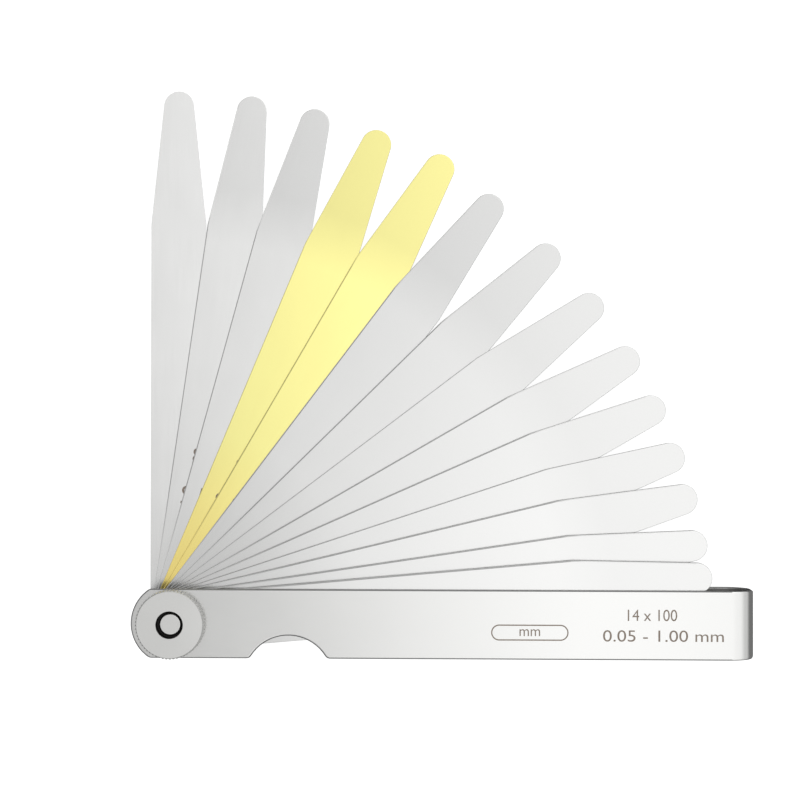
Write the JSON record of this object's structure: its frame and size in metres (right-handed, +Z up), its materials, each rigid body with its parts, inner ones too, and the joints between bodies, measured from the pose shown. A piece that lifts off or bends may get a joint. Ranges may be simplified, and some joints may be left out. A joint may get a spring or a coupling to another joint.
{
  "type": "feeler gauge",
  "caption": "Fan-type feeler gauge: tapered steel and brass blades pivot out of a folded sheet-steel case and are locked by a round knurled nut.",
  "frame": {"origin": "on the pivot axis, on the flat back face of the pivot screw's head, which the gauge lies on", "axes": "+X from the pivot along the case to its folded end, +Y towards the open fan, +Z up through the stack of blades to the lock nut"},
  "size_m": [0.1095, 0.101, 0.0121],
  "materials": {
    "case_steel": "satin nickel-plated sheet",
    "screw_steel": "turned, satin",
    "nut_steel": "turned face, knurled edge",
    "blade_steel": "ground spring steel, satin",
    "blade_brass": "rolled pale brass, satin"
  },
  "bodies": {
    "case": {"holder": "case_steel", "pivot_screw": "screw_steel"},
    "lock_nut": {"lock_nut": "nut_steel"},
    "blade_005": {"blade_005": "blade_steel"},
    "blade_010": {"blade_010": "blade_steel"},
    "blade_015": {"blade_015": "blade_steel"},
    "blade_020": {"blade_020": "blade_brass"},
    "blade_025": {"blade_025": "blade_brass"},
    "blade_030": {"blade_030": "blade_steel"},
    "blade_040": {"blade_040": "blade_steel"},
    "blade_050": {"blade_050": "blade_steel"},
    "blade_060": {"blade_060": "blade_steel"},
    "blade_070": {"blade_070": "blade_steel"},
    "blade_075": {"blade_075": "blade_steel"},
    "blade_080": {"blade_080": "blade_steel"},
    "blade_090": {"blade_090": "blade_steel"},
    "blade_100": {"blade_100": "blade_steel"}
  },
  "joints": [
    {"name": "lock_nut_turn", "type": "hinge", "parent": "case", "child": "lock_nut", "pos_m": [0, 0, 0.0096], "axis": [0, 0, 1], "range_deg": [0, 360]},
    {"name": "blade_005_swing", "type": "hinge", "parent": "case", "child": "blade_005", "pos_m": [0, 0, 0.00185], "axis": [0, 0, 1], "range_deg": [-90.1, 89.9]},
    {"name": "blade_010_swing", "type": "hinge", "parent": "case", "child": "blade_010", "pos_m": [0, 0, 0.00194], "axis": [0, 0, 1], "range_deg": [-81.9, 98.1]},
    {"name": "blade_015_swing", "type": "hinge", "parent": "case", "child": "blade_015", "pos_m": [0, 0, 0.00209], "axis": [0, 0, 1], "range_deg": [-74.7, 105.3]},
    {"name": "blade_020_swing", "type": "hinge", "parent": "case", "child": "blade_020", "pos_m": [0, 0, 0.00228], "axis": [0, 0, 1], "range_deg": [-67.4, 112.6]},
    {"name": "blade_025_swing", "type": "hinge", "parent": "case", "child": "blade_025", "pos_m": [0, 0, 0.00252], "axis": [0, 0, 1], "range_deg": [-59.9, 120.1]},
    {"name": "blade_030_swing", "type": "hinge", "parent": "case", "child": "blade_030", "pos_m": [0, 0, 0.00282], "axis": [0, 0, 1], "range_deg": [-52.9, 127.1]},
    {"name": "blade_040_swing", "type": "hinge", "parent": "case", "child": "blade_040", "pos_m": [0, 0, 0.00319], "axis": [0, 0, 1], "range_deg": [-44.5, 135.5]},
    {"name": "blade_050_swing", "type": "hinge", "parent": "case", "child": "blade_050", "pos_m": [0, 0, 0.00366], "axis": [0, 0, 1], "range_deg": [-37.2, 142.8]},
    {"name": "blade_060_swing", "type": "hinge", "parent": "case", "child": "blade_060", "pos_m": [0, 0, 0.00423], "axis": [0, 0, 1], "range_deg": [-30.1, 149.9]},
    {"name": "blade_070_swing", "type": "hinge", "parent": "case", "child": "blade_070", "pos_m": [0, 0, 0.0049], "axis": [0, 0, 1], "range_deg": [-24, 156]},
    {"name": "blade_075_swing", "type": "hinge", "parent": "case", "child": "blade_075", "pos_m": [0, 0, 0.00564], "axis": [0, 0, 1], "range_deg": [-18.4, 161.6]},
    {"name": "blade_080_swing", "type": "hinge", "parent": "case", "child": "blade_080", "pos_m": [0, 0, 0.00644], "axis": [0, 0, 1], "range_deg": [-13.7, 166.3]},
    {"name": "blade_090_swing", "type": "hinge", "parent": "case", "child": "blade_090", "pos_m": [0, 0, 0.00731], "axis": [0, 0, 1], "range_deg": [-8.6, 171.4]},
    {"name": "blade_100_swing", "type": "hinge", "parent": "case", "child": "blade_100", "pos_m": [0, 0, 0.00828], "axis": [0, 0, 1], "range_deg": [-5.1, 174.9]}
  ]
}
